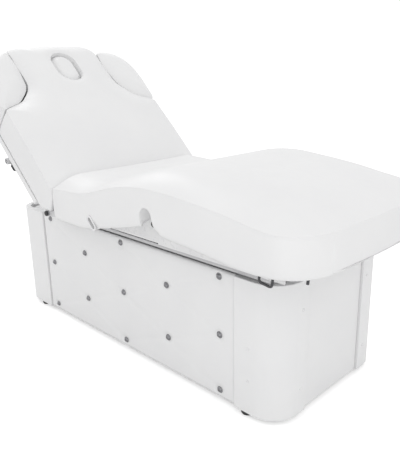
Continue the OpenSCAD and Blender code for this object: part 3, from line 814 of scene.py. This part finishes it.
def tube(name, start, end, radius, sides=28):
    """A closed round bar between two points."""
    start, end = Vector(start), Vector(end)
    turn = (end - start).to_track_quat("Z", "Y").to_matrix()
    turns = [2 * math.pi * k / sides for k in range(sides)]
    ring = [Vector((math.cos(a), math.sin(a), 0)) * radius for a in turns]
    points = [start + turn @ p for p in ring] + [end + turn @ p for p in ring]
    faces = [tuple(range(sides))[::-1], tuple(range(sides, 2 * sides))]
    faces += [(k, (k + 1) % sides, (k + 1) % sides + sides, k + sides) for k in range(sides)]
    mesh = bpy.data.meshes.new(name)
    mesh.from_pydata([tuple(p) for p in points], [], faces)
    bar = bpy.data.objects.new(name, mesh)
    bpy.context.scene.collection.objects.link(bar)
    clean_mesh(bar)
    return bar


def finish_hard(piece, body, slot, edge, nodes=()):
    """Rounds the edges of a hard piece, paints it and fixes it to its body."""
    piece.data.materials.clear()
    piece.data.materials.append(PAINTS[slot])
    bevel(piece, edge)
    smooth_all(piece)
    flat = piece.modifiers.new("normals", "WEIGHTED_NORMAL")
    flat.keep_sharp = True
    apply_modifiers(piece)
    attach(piece, body)
    if nodes:
        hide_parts(*nodes)


# ---- pedestal ----

POST_R = 0.092
POST_WALL = 0.022
# Gap between a post and the panel beside it
POST_GAP = 0.0006


def quarter_post(corner_x, corner_y, sx, sy, leg_x, leg_y):
    """Outline of a round corner post: outer and inner skin, from one leg end to the other."""
    turns = np.linspace(0, math.pi / 2, 13)

    def skin(radius, inset):
        edge_x, edge_y = corner_x - sx * inset, corner_y - sy * inset
        mid_x, mid_y = edge_x - sx * radius, edge_y - sy * radius
        return [(mid_x + sx * radius * math.sin(a), mid_y + sy * radius * math.cos(a))
                for a in turns]

    outer = ([(corner_x - sx * leg_x, corner_y)] + skin(POST_R, 0.0)
             + [(corner_x, corner_y - sy * leg_y)])
    inner_r = POST_R - POST_WALL
    inner = ([(corner_x - sx * leg_x, corner_y - sy * POST_WALL)] + skin(inner_r, POST_WALL)
             + [(corner_x - sx * POST_WALL, corner_y - sy * leg_y)])
    return outer + inner[::-1]


def make_posts():
    leg_y = POST_HIGH[1] - FOOT_HIGH[1] - POST_GAP
    nodes = ("corner_posts",)
    for sx, end_name, side_end in ((1, "foot", PANEL_HIGH[0]), (-1, "head", PANEL_LOW[0])):
        edge_x = POST_HIGH[0] if sx > 0 else POST_LOW[0]
        leg_x = abs(edge_x - side_end) - POST_GAP
        for sy, side in ((1, "left"), (-1, "right")):
            outline = quarter_post(edge_x, sy * POST_HIGH[1], sx, sy, leg_x, leg_y)
            post = prism(f"corner_post_{end_name}_{side}", outline, POST_LOW[2], POST_HIGH[2])
            finish_hard(post, "base", "panel_vinyl", 0.0022, nodes)
            nodes = ()


# Width of the inlet's flange beyond the opening in the panel
INLET_RIM_Y, INLET_RIM_Z = 0.0079, 0.0059


def make_end_panels():
    for name, low, high in (("foot_panel", FOOT_LOW, FOOT_HIGH),
                            ("head_panel", HEAD_LOW, HEAD_HIGH)):
        outline = [(low[0], low[1]), (high[0], low[1]), (high[0], high[1]), (low[0], high[1])]
        panel = prism(name + "_skin", outline, low[2], high[2])
        if name == "head_panel":
            inlet_low, inlet_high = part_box("mains_inlet")
            x0, x1 = low[0] - 0.01, high[0] + 0.01
            y0, y1 = inlet_low[1] + INLET_RIM_Y, inlet_high[1] - INLET_RIM_Y
            cut(panel, prism("inlet_hole", [(x0, y0), (x1, y0), (x1, y1), (x0, y1)],
                             inlet_low[2] + INLET_RIM_Z, inlet_high[2] - INLET_RIM_Z))
        finish_hard(panel, "base", "panel_vinyl", 0.003, (name,))


STUD_COLUMNS = 5
STUD_R = 0.011
PANEL_PUFF = 0.0045
DIMPLE_R = 0.030


def stud_places():
    """X and Z of each button stud: three in every other column and two between them."""
    low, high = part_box("button_studs")
    reach = (high[2] - low[2] - 2 * STUD_R) / 4
    first, last = low[0] + STUD_R, high[0] - STUD_R
    top = high[2] - STUD_R
    places = []
    for c in range(STUD_COLUMNS):
        x = first + (last - first) * c / (STUD_COLUMNS - 1)
        for k in range(3 - c % 2):
            places.append((x, top - (2 * k + c % 2) * reach))
    return places


def make_side_panels():
    """Padded vinyl panels: pillowed between the studs, with soft creases from stud to stud."""
    studs = np.array(stud_places())
    pairs = []
    for i in range(len(studs)):
        for j in range(i):
            gap = np.abs(studs[i] - studs[j])
            if 0.18 < gap[0] < 0.28 and 0.05 < gap[1] < 0.12:
                pairs.append((studs[i], studs[j]))
    low, high = PANEL_LOW, PANEL_HIGH
    nx, nz = 210, 84
    xs = np.linspace(low[0] + 0.0006, high[0] - 0.0006, nx)
    zs = np.linspace(low[2], high[2], nz)
    gx, gz = np.meshgrid(xs, zs, indexing="ij")
    near = np.min([np.hypot(gx - x, gz - z) for x, z in studs], axis=0)
    rim = np.minimum(np.minimum(gx - low[0], high[0] - gx), np.minimum(gz - low[2], high[2] - gz))
    fall = np.clip(near / DIMPLE_R, 0, 1)
    puff = PANEL_PUFF * (fall * fall * (3 - 2 * fall))
    for a, b in pairs:
        along = b - a
        t = np.clip(((gx - a[0]) * along[0] + (gz - a[1]) * along[1]) / (along @ along), 0, 1)
        off = np.hypot(gx - a[0] - along[0] * t, gz - a[1] - along[1] * t)
        puff -= 0.0012 * np.exp(-(off / 0.010) ** 2) * np.clip(near / 0.02, 0, 1)
    puff = puff * soft_edge(rim, 0.022) - 0.002 * (1 - soft_edge(rim, 0.006))
    for side, name in ((1, "left"), (-1, "right")):
        points = [(gx[i, k], side * (high[1] + puff[i, k]), gz[i, k])
                  for i in range(nx) for k in range(nz)]
        faces = [(i * nz + k, i * nz + k + 1, (i + 1) * nz + k + 1, (i + 1) * nz + k)
                 for i in range(nx - 1) for k in range(nz - 1)]
        rim_ids = ([i * nz for i in range(nx)] + [(nx - 1) * nz + k for k in range(1, nz)]
                   + [i * nz + nz - 1 for i in range(nx - 2, -1, -1)] + list(range(nz - 2, 0, -1)))
        base = len(points)
        points += [(points[i][0], side * (low[1] + 0.0005), points[i][2]) for i in rim_ids]
        count = len(rim_ids)
        faces += [(rim_ids[i], rim_ids[(i + 1) % count], base + (i + 1) % count, base + i)
                  for i in range(count)]
        faces.append(tuple(base + i for i in range(count)))
        panel = add_piece(f"side_panel_skin_{name}", points, faces, "base", "panel_vinyl")
        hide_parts(f"side_panel_{name}")


make_camera()
make_stage()
paint_cad_nodes()
make_mattress()
make_back()
make_posts()
make_end_panels()
make_side_panels()
